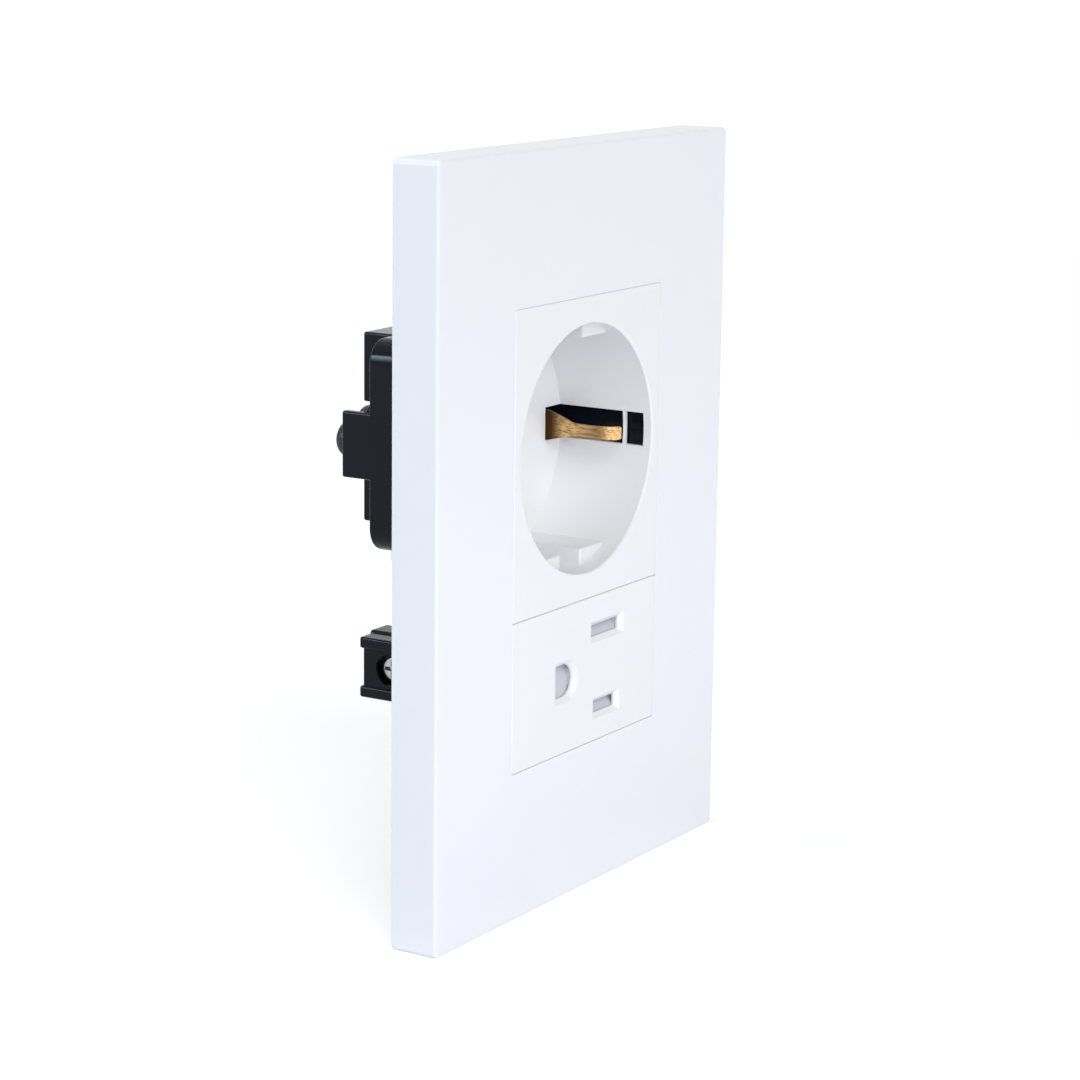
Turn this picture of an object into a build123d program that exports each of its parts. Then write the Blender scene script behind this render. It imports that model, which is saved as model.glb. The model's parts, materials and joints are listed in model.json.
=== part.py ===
from build123d import *
import os

# A double socket outlet for a wall box: a white cover plate over a support frame that holds two snap-in
# modules, a round earthed socket above and a flat-blade socket below. X runs to the right seen from the
# room, Y into the wall and Z up. The origin is the middle of the plate on the wall plane. Millimetres.

# Clearances
fit_gap = 0.1
loose_gap = 0.2
thread_gap = 0.05
slide_gap = 0.1

# Cover plate
cover_width = 86.0
cover_height = 120.0
cover_depth = 8.0
cover_skin = 2.4
cover_side_wall = 2.0
cover_corner_radius = 1.0
cover_edge_radius = 0.45
window_gap = 0.05
window_edge_radius = 0.06

# Snap hooks of the cover
hook_side_inset = 6.0
hook_end_inset = 8.0
hook_thickness = 1.6
hook_width = 6.0
hook_barb = 0.8
hook_barb_length = 1.0
hook_tip_inset = 0.8

# Support frame and its slotted holes for the wall box
frame_side_room = 3.0
frame_end_room = 4.0
frame_corner_radius = 4.0
frame_plate = 2.6
frame_rim = 1.6
frame_collar = 2.2
box_screw_spacing = 83.5
box_slot_width = 4.2
box_slot_length = 7.0

# Both modules
round_height = 48.4
blade_height = 23.9
module_gap = 0.08
module_corner_radius = 0.35
face_edge_radius = 0.2
face_overhang = 0.1
ear_thickness = 1.0
ear_reach = 1.6
latch_reach = 0.9
latch_length = 2.3
latch_width = 7.0
housing_rim_end = 3.0

# Round socket, front
recess_radius = 19.9
recess_depth = 17.5
recess_rim_radius = 0.3
cup_wall = 0.9
round_face_skin = 1.5
floor_thickness = 2.0
pin_spacing = 19.0
pin_hole_radius = 2.75
pin_hole_lead = 0.5
guide_flat_spacing = 34.0
guide_setback = 3.2
guide_notch_width = 6.0
guide_edge_radius = 0.3
earth_window_start = 1.6
earth_window_end = 5.0
earth_web = 0.48
earth_web_depth = 0.5
earth_slot_level = 0.15
earth_slot_inner_x = 15.1
face_boss_radius = 3.2
face_boss_length = 5.5

# Round socket, housing behind the wall
housing_wall = 0.9
housing_corner_radius = 3.0
step_wall = 1.2
heel_step = 1.6
heel_depth = 3.45
heel_edge_radius = 1.0
body_width = 34.4
body_height = 34.1
body_level = -0.4
body_corner_radius = 3.9
body_edge_radius = 0.3
body_side_wall = 1.6
body_back_wall = 1.5
chamber_depth = 9.1
tower_width = 9.0
tower_height = 11.4
tower_shift = 0.38
tower_lift = 0.15
tower_rise = 10.0
tower_wall = 1.2
tower_edge_radius = 0.3
boss_radius = 3.3
boss_rise = 10.9
block_width = 10.3
block_height = 7.2
block_rise = 4.15
barrier_thickness = 1.6
barrier_height = 10.7
barrier_rise = 5.25
barrier_edge_radius = 0.3
riser_inset = 1.2

# Brass parts of the round socket
strip_thickness = 0.8
tube_bore_radius = 2.45
tube_wall = 0.7
tube_start = 1.1
tube_slit = 0.8
tube_slit_length = 11.5
arm_width = 5.0
arm_drop = 2.1
terminal_tab_height = 7.0
strap_width = 5.0
strap_ring_wall = 2.0
clip_thickness = 0.6
clip_bulge_x = 14.1
clip_tip_x = 16.3
clip_tip_depth = 3.9
clip_bulge_depth = 8.6
clip_neck_depth = 11.8
clip_root_depth = 16.4
clip_flare_depth = 17.2
clip_tip_top = 0.95
clip_tip_bottom = 1.2
clip_bend_radius = 3.0
clip_tip_slope = 0.35

# Screws and clamps of the round socket
terminal_screw_inset = 4.9
screw_radius = 1.5
screw_head_radius = 3.0
screw_head_height = 2.4
screw_head_dome = 1.5
screw_length = 7.0
recess_cross = 3.6
recess_cross_width = 0.8
recess_cross_depth = 1.1
clamp_width = 6.2
clamp_height = 7.0
clamp_thickness = 1.1
clamp_corner_radius = 0.6
housing_screw_bite = 4.0

# Blade socket, front
blade_face_skin = 1.1
blade_spacing = 12.7
opening_level = -0.3
blade_x = 6.6
neutral_slot_length = 8.75
live_slot_length = 7.0
blade_slot_height = 2.0
slot_lead = 0.75
ground_x = -5.75
ground_radius = 2.65
ground_flat = 2.8
face_leg_inset = 1.9
face_leg_thickness = 1.0
face_leg_width = 8.0
face_leg_length = 5.6
face_leg_barb = 0.6

# Shutters and their springs
shutter_thickness = 2.2
shutter_margin = 0.25
shutter_side_margin = 0.7
shutter_arm_height = 2.4
shutter_arm_reach = 4.6
shutter_ramp = 1.2
blade_shutter_travel = 2.75
ground_shutter_travel = 6.0
spring_radius = 0.85
spring_wire_radius = 0.14
spring_length = 8.6
spring_turns = 6

# Blade socket, housing behind the wall
blade_wall = 1.2
blade_body_width = 41.6
blade_body_height = 22.0
blade_body_end = 13.4
blade_body_radius = 1.0
passage_gap = 0.2
passage_wall = 1.2
leaf_chamber_length = 10.4
leaf_chamber_height = 5.0
ground_tower_width = 8.2
ground_tower_height = 7.5
ground_tower_rise = 4.2
ground_tower_radius = 0.6
leaf_tower_height = 7.4
leaf_tower_rise = 5.0
box_height = 9.9
box_lip = 1.85
box_lip_step = 0.5
box_wall = 1.0
box_edge_radius = 0.3
box_core_inset = 3.6
box_core_width = 5.0
box_core_height = 10.6
box_core_rise = 0.65
box_core_radius = 0.5
access_room = 0.4
ground_terminal_level = 0.3
wire_hole_radius = 1.3
wire_hole_offset = 2.2

# Brass parts, screws and clamps of the blade socket
leaf_thickness = 0.6
leaf_width = 6.4
leaf_grip = 1.3
leaf_mouth = 3.0
leaf_root = 2.4
side_arm_rise = 0.8
side_arm_width = 5.0
side_tab_x = 14.1
side_tab_height = 6.8
side_tab_reach = 3.2
side_tab_room = 0.6
side_wire_room = 1.7
side_screw_rise = 3.55
side_screw_radius = 1.45
side_screw_length = 4.0
side_head_radius = 2.1
side_head_height = 1.1
side_head_dome = 0.5
side_head_room = 1.2
side_clamp_width = 6.0
side_clamp_thickness = 1.0

# Depths and places worked out from the sizes above
front_y = -cover_depth
skin_back_y = front_y + cover_skin
ear_front_y = skin_back_y + loose_gap
ear_seat_y = ear_front_y + ear_thickness
frame_width = cover_width - 2 * (cover_side_wall + frame_side_room)
frame_height = cover_height - 2 * (cover_side_wall + frame_end_room)
hook_x = frame_width / 2 - hook_side_inset
hook_z = frame_height / 2 - hook_end_inset

cup_radius = recess_radius + cup_wall
bore_radius = cup_radius + fit_gap
housing_half = bore_radius + housing_wall
module_width = 2 * (housing_half + face_overhang)
stack_height = round_height + module_gap + blade_height
round_z = (stack_height - round_height) / 2
blade_z = (blade_height - stack_height) / 2

round_front_y = front_y + round_face_skin
floor_y = front_y + recess_depth
floor_back_y = floor_y + floor_thickness
chamber_front_y = floor_back_y + fit_gap
chamber_back_y = chamber_front_y + chamber_depth
strap_y = (chamber_front_y, chamber_front_y + strip_thickness)
earth_slot_width = strap_width + 2 * loose_gap + fit_gap
strap_end_x = earth_slot_inner_x + fit_gap + clip_thickness
body_back_y = chamber_back_y + body_back_wall
block_back_y = body_back_y + block_rise
tower_back_y = body_back_y + tower_rise
tower_offset = pin_spacing / 2 + tower_shift
boss_back_y = body_back_y + boss_rise
tube_radius = tube_bore_radius + tube_wall
tube_seat_radius = tube_radius + fit_gap + thread_gap
tab_back_y = block_back_y + strip_thickness
clamp_back_y = tab_back_y + clamp_thickness
block_outer_x = body_width / 2
block_inner_x = block_outer_x - block_width
barrier_inner_x = block_outer_x - barrier_thickness
barrier_back_y = body_back_y + barrier_rise
riser_x = (block_inner_x + riser_inset, block_inner_x + riser_inset + strip_thickness)
terminal_x = block_outer_x - terminal_screw_inset

# Side and height of each terminal of the round socket: earth, upper pin, lower pin
round_terminals = ((-1, body_level), (1, pin_spacing / 2), (1, -pin_spacing / 2))

blade_front_y = front_y + blade_face_skin
shutter_y = (blade_front_y + slide_gap, blade_front_y + slide_gap + shutter_thickness)
shutter_back_y = shutter_y[1] + slide_gap
passage_back_y = shutter_back_y + passage_wall
blade_offset = blade_spacing / 2
neutral_level = opening_level + blade_offset
live_level = opening_level - blade_offset
blade_shutter_half = blade_offset + blade_slot_height / 2 + shutter_margin
ground_shutter_half = ground_radius + shutter_margin + slide_gap
spring_y = (blade_front_y + shutter_back_y) / 2
face_leg_x = housing_half - face_leg_inset
leaf_tower_end = blade_body_end + leaf_tower_rise
ground_tower_end = blade_body_end + ground_tower_rise
side_arm_depth = blade_body_end + side_arm_rise
access_depth = side_arm_depth + side_screw_rise
access_radius = side_head_radius + access_room
side_tab_end = access_depth + side_tab_reach
side_clamp_x = side_tab_x + strip_thickness
side_clamp_height = side_tab_height - 2 * fit_gap
side_head_x = side_clamp_x + side_clamp_thickness
box_hollow_x = (side_tab_x - side_wire_room, side_head_x + side_head_room)
box_hollow_end = side_tab_end + side_tab_room
box_inner_x = box_hollow_x[0] - box_wall
box_panel_x = box_hollow_x[1] + box_wall
box_outer_x = box_panel_x + box_lip_step
box_end = box_hollow_end + box_wall + box_lip_step
box_core_end = box_end + box_core_rise
box_core_x = box_outer_x - box_core_inset - box_core_width / 2

# Side and height of each terminal of the blade socket: ground pin, neutral blade, live blade
blade_terminals = ((-1, ground_terminal_level), (1, neutral_level), (1, live_level))


def span(centre, size):
    """Low and high ends of a stretch of a given size about its centre."""
    return (centre - size / 2, centre + size / 2)


def block(x, y, z):
    """Box between the low and high ends given along each axis."""
    ends = [sorted(pair) for pair in (x, y, z)]
    middle = [(low + high) / 2 for low, high in ends]
    return Pos(*middle) * Box(*[high - low for low, high in ends])


def prism(outline, y, x=0.0, z=0.0):
    """Outline drawn in X and Z, carried through the depths y."""
    plane = Plane(origin=(x, y[1], z), x_dir=(1, 0, 0), z_dir=(0, -1, 0))
    return extrude(plane * outline, amount=y[1] - y[0])


def rod_y(radius, y, x=0.0, z=0.0):
    """Round bar along the depth."""
    return prism(Circle(radius), y, x, z)


def rod_x(radius, x, y, z=0.0):
    """Round bar across the width."""
    low, high = sorted(x)
    return Pos((low + high) / 2, y, z) * Rot(0, 90, 0) * Cylinder(radius, high - low)


def slab(outline, z):
    """Outline drawn in X and Y, carried through the heights z."""
    return extrude(Pos(0, 0, z[0]) * outline, amount=z[1] - z[0])


def soften_end(shape, axis, end, radius):
    """Round the edges of the outermost face of a shape along an axis."""
    return fillet(shape.faces().sort_by(axis)[end].edges(), radius)


def mirrored(shape):
    """The shape and its mirror image on the other side of the middle plane."""
    return shape + mirror(shape, about=Plane.YZ)


def cover_hook(side, level):
    """Snap prong inside the cover, with its barb pointing outwards."""
    tip_y = -hook_tip_inset
    barb_y = tip_y - hook_barb_length
    half = hook_thickness / 2
    prong = block((hook_x - half, hook_x + half), (skin_back_y, tip_y), span(hook_z, hook_width))
    outer = hook_x + half
    barb_outline = Polygon((outer, barb_y), (outer + hook_barb, barb_y), (outer, tip_y), align=None)
    hook = prong + slab(barb_outline, span(hook_z, hook_width))
    if side < 0:
        hook = mirror(hook, about=Plane.YZ)
    if level < 0:
        hook = mirror(hook, about=Plane.XY)
    return hook


def cover_plate():
    """White shell with the module window, hollow behind."""
    shell = prism(RectangleRounded(cover_width, cover_height, cover_corner_radius), (front_y, 0))
    shell = soften_end(shell, Axis.Y, 0, cover_edge_radius)
    inner_width = cover_width - 2 * cover_side_wall
    inner_height = cover_height - 2 * cover_side_wall
    shell -= prism(Rectangle(inner_width, inner_height), (skin_back_y, 0))
    window_width = module_width + 2 * window_gap
    window_height = stack_height + 2 * window_gap
    window = RectangleRounded(window_width, window_height, module_corner_radius + window_gap)
    shell -= prism(window, (front_y, skin_back_y))
    front = shell.faces().sort_by(Axis.Y)[0]
    shell = fillet(front.inner_wires()[0].edges(), window_edge_radius)
    for side in (-1, 1):
        for level in (-1, 1):
            shell += cover_hook(side, level)
    return shell


def hook_hole():
    """Opening of the frame for one cover hook: a throat and a pocket for its barb."""
    half = hook_thickness / 2
    ledge_y = -hook_tip_inset - hook_barb_length - fit_gap
    height = span(hook_z, hook_width + 2 * loose_gap)
    throat = block((hook_x - half - loose_gap, hook_x + half + loose_gap), (-frame_plate, 0), height)
    outer = hook_x + half + hook_barb + loose_gap
    return throat + block((hook_x, outer), (ledge_y, 0), height)


def support_frame():
    """Plate against the wall box, with rails that the modules seat on."""
    outline = RectangleRounded(frame_width, frame_height, frame_corner_radius)
    inset_width = frame_width - 2 * frame_rim
    inset_height = frame_height - 2 * frame_rim
    inset = RectangleRounded(inset_width, inset_height, frame_corner_radius - frame_rim)
    frame = prism(outline, (ear_front_y, 0)) - prism(inset, (ear_front_y, -frame_plate))
    window_half = module_width / 2 + loose_gap
    window_height = stack_height + 2 * loose_gap
    rail_x = (window_half, window_half + frame_collar)
    rail = block(rail_x, (ear_seat_y, -frame_plate), span(0, window_height))
    frame += mirrored(rail)
    frame -= prism(Rectangle(2 * window_half, window_height), (ear_front_y, 0))
    for level in (-1, 1):
        slot = Rot(0, 0, 90) * SlotOverall(box_slot_length, box_slot_width)
        frame -= prism(slot, (-frame_plate, 0), 0, level * box_screw_spacing / 2)
    holes = mirrored(hook_hole())
    return frame - holes - mirror(holes, about=Plane.XY)


def module_catches(height, levels):
    """Side ears that seat on the frame, and barbs that snap behind it."""
    catches = block((0, housing_half + ear_reach), (ear_front_y, ear_seat_y), span(0, height))
    barb_end = fit_gap + latch_length
    barb_tip = housing_half + latch_reach
    barb_points = [(0, fit_gap), (barb_tip, fit_gap), (housing_half, barb_end), (0, barb_end)]
    barb_outline = Polygon(*barb_points, align=None)
    for level in levels:
        catches += slab(barb_outline, span(level, latch_width))
    return mirrored(catches)


def earth_openings():
    """Window and slot for the earth clip on one side of the recess."""
    window_y = (front_y + earth_window_start, front_y + earth_window_end)
    slot_y = (front_y + earth_window_end + earth_web, floor_back_y)
    width = span(earth_slot_level, earth_slot_width)
    outer = cup_radius + fit_gap
    wall_x = (earth_slot_inner_x, outer)
    openings = block(wall_x, window_y, width) + block(wall_x, slot_y, width)
    return openings + block((recess_radius + earth_web_depth, outer), (window_y[0], slot_y[1]), width)


def recess_guides():
    """Guide segments at the top and bottom of the recess, notched in the middle."""
    segments = Circle(recess_radius + cup_wall / 2) - Rectangle(2 * cup_radius, guide_flat_spacing)
    segments -= Rectangle(guide_notch_width, 2 * cup_radius)
    guides = prism(segments, (front_y + guide_setback, floor_y))
    front_edges = guides.faces().group_by(Axis.Y)[0].edges().filter_by(GeomType.LINE)
    return fillet(front_edges, guide_edge_radius)


def round_socket_face():
    """White face with the round recess and its floor, moulded in one piece."""
    outline = RectangleRounded(module_width, round_height, module_corner_radius)
    plate = prism(outline, (front_y, round_front_y))
    plate = soften_end(plate, Axis.Y, 0, face_edge_radius)
    face = plate + rod_y(cup_radius, (round_front_y, floor_back_y))
    face -= rod_y(recess_radius, (front_y, floor_y))
    rim = face.faces().sort_by(Axis.Y)[0].inner_wires()[0].edges()
    face = fillet(rim, recess_rim_radius)
    face += recess_guides()
    face += rod_y(face_boss_radius, (floor_back_y, floor_back_y + face_boss_length))
    face -= rod_y(screw_radius + thread_gap, (floor_back_y + fit_gap, floor_back_y + face_boss_length))
    face -= mirrored(earth_openings())
    for level in (-1, 1):
        pin_z = level * pin_spacing / 2
        face -= rod_y(pin_hole_radius, (floor_y, floor_back_y), 0, pin_z)
        lead = Cone(pin_hole_radius, pin_hole_radius + pin_hole_lead, pin_hole_lead)
        face -= Pos(0, floor_y + pin_hole_lead / 2, pin_z) * Rot(90, 0, 0) * lead
    return face


def terminal_block(side, level):
    """Raised block of the round housing that carries one terminal, with a barrier wall outside it."""
    barrier = RectangleRounded(barrier_thickness, barrier_height, barrier_edge_radius + fit_gap)
    barrier_x = side * (barrier_inner_x + block_outer_x) / 2
    barrier = prism(barrier, (chamber_back_y, barrier_back_y), barrier_x, level)
    barrier = soften_end(barrier, Axis.Y, -1, barrier_edge_radius)
    carrier_x = (side * block_inner_x, side * (barrier_inner_x + barrier_thickness / 2))
    return barrier + block(carrier_x, (chamber_back_y, block_back_y), span(level, block_height))


def terminal_cuts(side, level):
    """Slot for the riser and hole for the screw of one terminal."""
    riser = tuple(side * x for x in (riser_x[0] - fit_gap, riser_x[1] + fit_gap))
    depth = (chamber_back_y, block_back_y)
    slot = block(riser, depth, span(level, arm_width + 2 * fit_gap))
    return slot + rod_y(screw_radius + fit_gap, depth, side * terminal_x, level)


def round_socket_housing():
    """Black housing: a square rim around the cup, a rounded body, towers and terminal blocks behind."""
    rim_size = 2 * housing_half
    step_y = chamber_front_y + step_wall
    heel_y = step_y + heel_depth
    rim = Rectangle(rim_size, round_height - 2 * face_overhang)
    housing = prism(rim, (round_front_y, housing_rim_end))
    collar = RectangleRounded(rim_size, rim_size, housing_corner_radius)
    housing += prism(collar, (housing_rim_end, step_y))
    heel_size = rim_size - 2 * heel_step
    heel = prism(RectangleRounded(heel_size, heel_size, housing_corner_radius), (step_y, heel_y))
    housing += soften_end(heel, Axis.Y, -1, heel_edge_radius)
    body = RectangleRounded(body_width, body_height, body_corner_radius)
    body = prism(body, (step_y, body_back_y), 0, body_level)
    housing += soften_end(body, Axis.Y, -1, body_edge_radius)
    for level in (-1, 1):
        tower = RectangleRounded(tower_width, tower_height, tower_edge_radius + fit_gap)
        tower = prism(tower, (chamber_back_y, tower_back_y), 0, level * tower_offset + tower_lift)
        housing += soften_end(tower, Axis.Y, -1, tower_edge_radius)
    housing += rod_y(boss_radius, (chamber_back_y, boss_back_y))
    for side, level in round_terminals:
        housing += terminal_block(side, level)
    housing += module_catches(2 * bore_radius, (-pin_spacing / 2, pin_spacing / 2))
    housing -= rod_y(bore_radius, (round_front_y, chamber_front_y))
    chamber = Rectangle(body_width - 2 * body_side_wall, body_height - 2 * body_side_wall)
    housing -= prism(chamber, (chamber_front_y, chamber_back_y), 0, body_level)
    strap_seat_x = (-strap_end_x - fit_gap, strap_end_x + fit_gap)
    strap_seat_y = (strap_y[0], strap_y[1] + fit_gap)
    housing -= block(strap_seat_x, strap_seat_y, span(0, strap_width + 2 * fit_gap))
    inner_boss_y = floor_back_y + face_boss_length + fit_gap
    housing += rod_y(face_boss_radius, (inner_boss_y, chamber_back_y))
    housing -= rod_y(screw_radius + loose_gap, (inner_boss_y, boss_back_y))
    for level in (-1, 1):
        tube_seat = (chamber_back_y, tower_back_y - tower_wall)
        housing -= rod_y(tube_seat_radius, tube_seat, 0, level * pin_spacing / 2)
    for side, level in round_terminals:
        housing -= terminal_cuts(side, level)
    return housing


def riser_and_tab(side, level, start_y):
    """Strip that rises through the housing to a terminal and lies flat on its block."""
    riser = block([side * x for x in riser_x], (start_y, tab_back_y), span(level, arm_width))
    tab_x = (side * riser_x[0], side * (barrier_inner_x - fit_gap))
    tab_y = (block_back_y, tab_back_y)
    tab = block(tab_x, tab_y, span(level, terminal_tab_height))
    hole = rod_y(screw_radius + thread_gap, tab_y, side * terminal_x, level)
    return riser + tab - hole


def pin_contact(level):
    """Slit brass tube for one round pin, with its arm to the terminal."""
    pin_z = level * pin_spacing / 2
    tube_y = (floor_back_y + tube_start, tower_back_y - tower_wall - fit_gap)
    arm_y = chamber_back_y - arm_drop
    contact = rod_y(tube_radius, tube_y, 0, pin_z)
    contact += block((0, riser_x[1]), (arm_y, arm_y + strip_thickness), span(pin_z, arm_width))
    contact -= rod_y(tube_bore_radius, tube_y, 0, pin_z)
    slit_y = (tube_y[0], min(tube_y[0] + tube_slit_length, arm_y) - fit_gap)
    contact -= block(span(0, tube_slit), slit_y, span(pin_z, 2 * tube_radius))
    return contact + riser_and_tab(1, pin_z, arm_y)


def earth_clip():
    """Sprung earth clip on the right, bent from strip and tapered towards its tip."""
    root_x = earth_slot_inner_x + fit_gap + clip_thickness / 2
    root_y = chamber_front_y + strip_thickness
    path = Spline(
        (root_x, root_y),
        (root_x, front_y + clip_root_depth),
        (clip_bulge_x, front_y + clip_bulge_depth),
        (clip_tip_x, front_y + clip_tip_depth),
        tangents=((0, -1), (1, -clip_tip_slope)),
    )
    strip = slab(trace(path, clip_thickness), span(0, strap_width))
    half = strap_width / 2
    tip_y = front_y + clip_tip_depth - clip_thickness
    neck_y = front_y + clip_neck_depth
    wide_y = front_y + clip_flare_depth
    widths = ((half, half, root_y), (half, half, wide_y), (clip_tip_top, clip_tip_bottom, neck_y),
              (clip_tip_top, clip_tip_bottom, tip_y))
    upper = [(top, -y) for top, bottom, y in widths]
    lower = [(-bottom, -y) for top, bottom, y in reversed(widths)]
    side_view = Polygon(*upper, *lower, align=None)
    side_view = fillet(side_view.vertices().group_by(Axis.Y)[-1], clip_tip_top - fit_gap)
    bends = [corner for corner in side_view.vertices() if abs(corner.Y + neck_y) < fit_gap]
    side_view = fillet(bends, clip_bend_radius)
    mask_plane = Plane(origin=(0, 0, 0), x_dir=(0, 0, 1), z_dir=(1, 0, 0))
    return strip & extrude(mask_plane * side_view, amount=cup_radius)


def earth_strap():
    """Brass strap behind the recess floor, with a clip at each end and the earth terminal."""
    ring_radius = face_boss_radius + loose_gap
    strap = block((-strap_end_x, strap_end_x), strap_y, span(0, strap_width))
    strap += rod_y(ring_radius + strap_ring_wall, strap_y)
    strap -= rod_y(ring_radius, strap_y)
    strap += mirrored(earth_clip())
    side, level = round_terminals[0]
    return strap + riser_and_tab(side, level, strap_y[0])


def drive_cross(head_y, x=0.0, z=0.0):
    """Cross recess in the outer end of a screw head that faces the wall box."""
    depth = (head_y - recess_cross_depth, head_y)
    upright = block(span(x, recess_cross_width), depth, span(z, recess_cross))
    return upright + block(span(x, recess_cross), depth, span(z, recess_cross_width))


def round_screw(seat_y, length, x=0.0, z=0.0):
    """Domed screw that enters from behind and seats at the given depth."""
    head = rod_y(screw_head_radius, (seat_y, seat_y + screw_head_height), x, z)
    head = soften_end(head, Axis.Y, -1, screw_head_dome)
    head -= drive_cross(seat_y + screw_head_height, x, z)
    return head + rod_y(screw_radius, (seat_y - length, seat_y), x, z)


def terminal_clamp(side, level):
    """Square clamp washer under a terminal screw."""
    outline = RectangleRounded(clamp_width, clamp_height, clamp_corner_radius)
    washer = prism(outline, (tab_back_y, clamp_back_y), side * terminal_x, level)
    return washer - rod_y(screw_radius + fit_gap, (tab_back_y, clamp_back_y), side * terminal_x, level)


def terminal_screw(side, level):
    """Screw of one terminal of the round socket."""
    return round_screw(clamp_back_y, screw_length, side * terminal_x, level)


def housing_screw():
    """Long screw that holds the round face and housing together."""
    reach = boss_back_y - floor_back_y - face_boss_length + housing_screw_bite
    return round_screw(boss_back_y, reach)


def ground_outline(grow=0.0):
    """Opening for the ground pin, flat on the left and round on the right."""
    radius = ground_radius + grow
    return Circle(radius) + Pos(-ground_flat / 2, 0) * Rectangle(ground_flat, 2 * radius)


def blade_openings(y, grow=0.0):
    """The three openings of the blade socket, carried through the depths y."""
    height = blade_slot_height + 2 * grow
    openings = prism(Rectangle(neutral_slot_length + 2 * grow, height), y, blade_x, neutral_level)
    openings += prism(Rectangle(live_slot_length + 2 * grow, height), y, blade_x, live_level)
    return openings + prism(ground_outline(grow), y, ground_x, opening_level)


def face_leg():
    """Snap leg on the right that holds the blade face in its housing."""
    half = face_leg_thickness / 2
    end_y = blade_front_y + face_leg_length
    barb_y = end_y - 2 * face_leg_barb
    inner = face_leg_x - half
    outer = face_leg_x + half
    leg = block((inner, outer), (blade_front_y, end_y), span(0, face_leg_width))
    barb_outline = Polygon((outer, barb_y), (outer + face_leg_barb, barb_y), (outer, end_y), align=None)
    return leg + slab(barb_outline, span(0, face_leg_width))


def blade_socket_face():
    """White face with two blade slots and a ground opening."""
    outline = RectangleRounded(module_width, blade_height, module_corner_radius)
    face = prism(outline, (front_y, blade_front_y))
    face = soften_end(face, Axis.Y, 0, face_edge_radius)
    face -= blade_openings((front_y, blade_front_y))
    front = face.faces().sort_by(Axis.Y)[0]
    lead_edges = [edge for wire in front.inner_wires() for edge in wire.edges()]
    face = chamfer(lead_edges, slot_lead)
    return face + mirrored(face_leg())


def blade_shutter_outline():
    """Sides of the blade shutter along X: its plate, then its arm to the right."""
    left = blade_x - neutral_slot_length / 2 - shutter_side_margin
    right = blade_x + neutral_slot_length / 2 + shutter_side_margin
    return (left, right, right + shutter_arm_reach)


def ground_shutter_outline():
    """Sides of the ground shutter along X: its arm to the left, then its plate."""
    left = ground_x - ground_flat - shutter_side_margin
    return (left - shutter_arm_reach, left, ground_x + ground_radius + shutter_side_margin)


def blade_shutter_ends():
    """Lower and upper ends of the blade shutter."""
    return span(opening_level, 2 * blade_shutter_half)


def ground_shutter_ends():
    """Lower and upper ends of the ground shutter."""
    return span(opening_level, 2 * ground_shutter_half)


def shutter_ramp_cut(x, centre_z, height):
    """Wedge cut from a shutter's front that a plug pushes against."""
    front = blade_front_y + slide_gap
    top = centre_z + height / 2
    outline = Polygon((top, -front), (top - height, -front), (top, -front - shutter_ramp), align=None)
    plane = Plane(origin=(x[0], 0, 0), x_dir=(0, 0, 1), z_dir=(1, 0, 0))
    return extrude(plane * outline, amount=x[1] - x[0])


def blade_shutter():
    """Sliding shutter behind both blade slots, with a window that clears the lower slot when open."""
    left, right, arm_end = blade_shutter_outline()
    bottom, top = blade_shutter_ends()
    slider = block((left, right), shutter_y, (bottom, top))
    slider += block((right, arm_end), shutter_y, (top - shutter_arm_height, top))
    window_z = live_level + blade_shutter_travel
    window_x = (left + shutter_side_margin - fit_gap, right - shutter_side_margin + fit_gap)
    slider -= block(window_x, shutter_y, span(window_z, blade_slot_height + shutter_margin))
    for level in (neutral_level, live_level):
        slider -= shutter_ramp_cut(window_x, level, blade_slot_height)
    return slider


def ground_shutter():
    """Sliding shutter behind the ground opening."""
    arm_end, left, right = ground_shutter_outline()
    bottom, top = ground_shutter_ends()
    slider = block((left, right), shutter_y, (bottom, top))
    slider += block((arm_end, left), shutter_y, (top - shutter_arm_height, top))
    ramp_x = (left + shutter_side_margin, right - shutter_side_margin)
    return slider - shutter_ramp_cut(ramp_x, opening_level, 2 * ground_radius)


def shutter_spring(x, top_z):
    """Return coil under a shutter's arm, standing on its seat in the housing."""
    radius = spring_radius
    height = spring_length - 2 * spring_wire_radius
    path = Helix(height / spring_turns, height, radius)
    wire = sweep(Plane(path @ 0, z_dir=path % 0) * Circle(spring_wire_radius), path, is_frenet=True)
    return Pos(x, spring_y, top_z - spring_length + spring_wire_radius) * wire


def spring_places():
    """X of each spring and the underside of the arm that it pushes: blade shutter, then ground shutter."""
    blade_arm = blade_shutter_outline()
    ground_arm = ground_shutter_outline()
    blade_place = ((blade_arm[1] + blade_arm[2]) / 2, blade_shutter_ends()[1] - shutter_arm_height)
    ground_place = ((ground_arm[0] + ground_arm[1]) / 2, ground_shutter_ends()[1] - shutter_arm_height)
    return blade_place, ground_place


def shutter_pockets():
    """Pockets of the housing in which the shutters slide and their springs stand."""
    depth = (blade_front_y, shutter_back_y)
    blade_spring, ground_spring = spring_places()
    left, right, arm_end = blade_shutter_outline()
    bottom, top = blade_shutter_ends()
    top += slide_gap
    bottom -= blade_shutter_travel + slide_gap
    pockets = block((left - slide_gap, right + slide_gap), depth, (bottom, top))
    seat = blade_spring[1] - spring_length - thread_gap
    pockets += block((right, arm_end + slide_gap), depth, (seat, top))
    arm_end, left, right = ground_shutter_outline()
    bottom, top = ground_shutter_ends()
    top += slide_gap
    bottom -= ground_shutter_travel + slide_gap
    pockets += block((left - slide_gap, right + slide_gap), depth, (bottom, top))
    seat = ground_spring[1] - spring_length - thread_gap
    pockets += block((arm_end - slide_gap, left), depth, (seat, top))
    return pockets


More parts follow.
